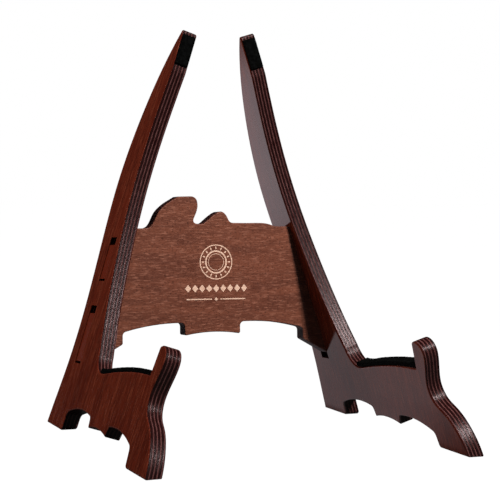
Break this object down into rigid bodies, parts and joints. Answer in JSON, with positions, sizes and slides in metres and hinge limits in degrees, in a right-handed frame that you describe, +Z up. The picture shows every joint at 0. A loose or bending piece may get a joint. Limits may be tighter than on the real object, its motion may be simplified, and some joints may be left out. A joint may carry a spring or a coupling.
{
  "type": "guitar stand",
  "caption": "Knock-down plywood guitar stand: leaning legs with padded cradles and tips, joined by a tongued cross panel.",
  "frame": {"origin": "on the floor, in the middle of the stand's box", "axes": "+Z up; -Y towards the player's side, where the cradle lips are; +X to the right seen from that side"},
  "size_m": [0.2638, 0.252, 0.3195],
  "materials": {
    "leg_wood": "dark mahogany stain under satin lacquer on plywood",
    "panel_wood": "mahogany stain under satin lacquer on plywood",
    "foam": "black closed-cell foam"
  },
  "bodies": {
    "panel": {"cross_panel": "panel_wood"},
    "left_leg": {"left_leg_plate": "leg_wood", "left_cradle_pad": "foam", "left_tip_pad": "foam"},
    "right_leg": {"right_leg_plate": "leg_wood", "right_cradle_pad": "foam", "right_tip_pad": "foam"}
  },
  "joints": [
    {"name": "left_leg_pull", "type": "slide", "parent": "panel", "child": "left_leg", "axis": [-1, 0, 0], "range_m": [0, 0.04]},
    {"name": "right_leg_pull", "type": "slide", "parent": "panel", "child": "right_leg", "axis": [1, 0, 0], "range_m": [0, 0.04]}
  ]
}
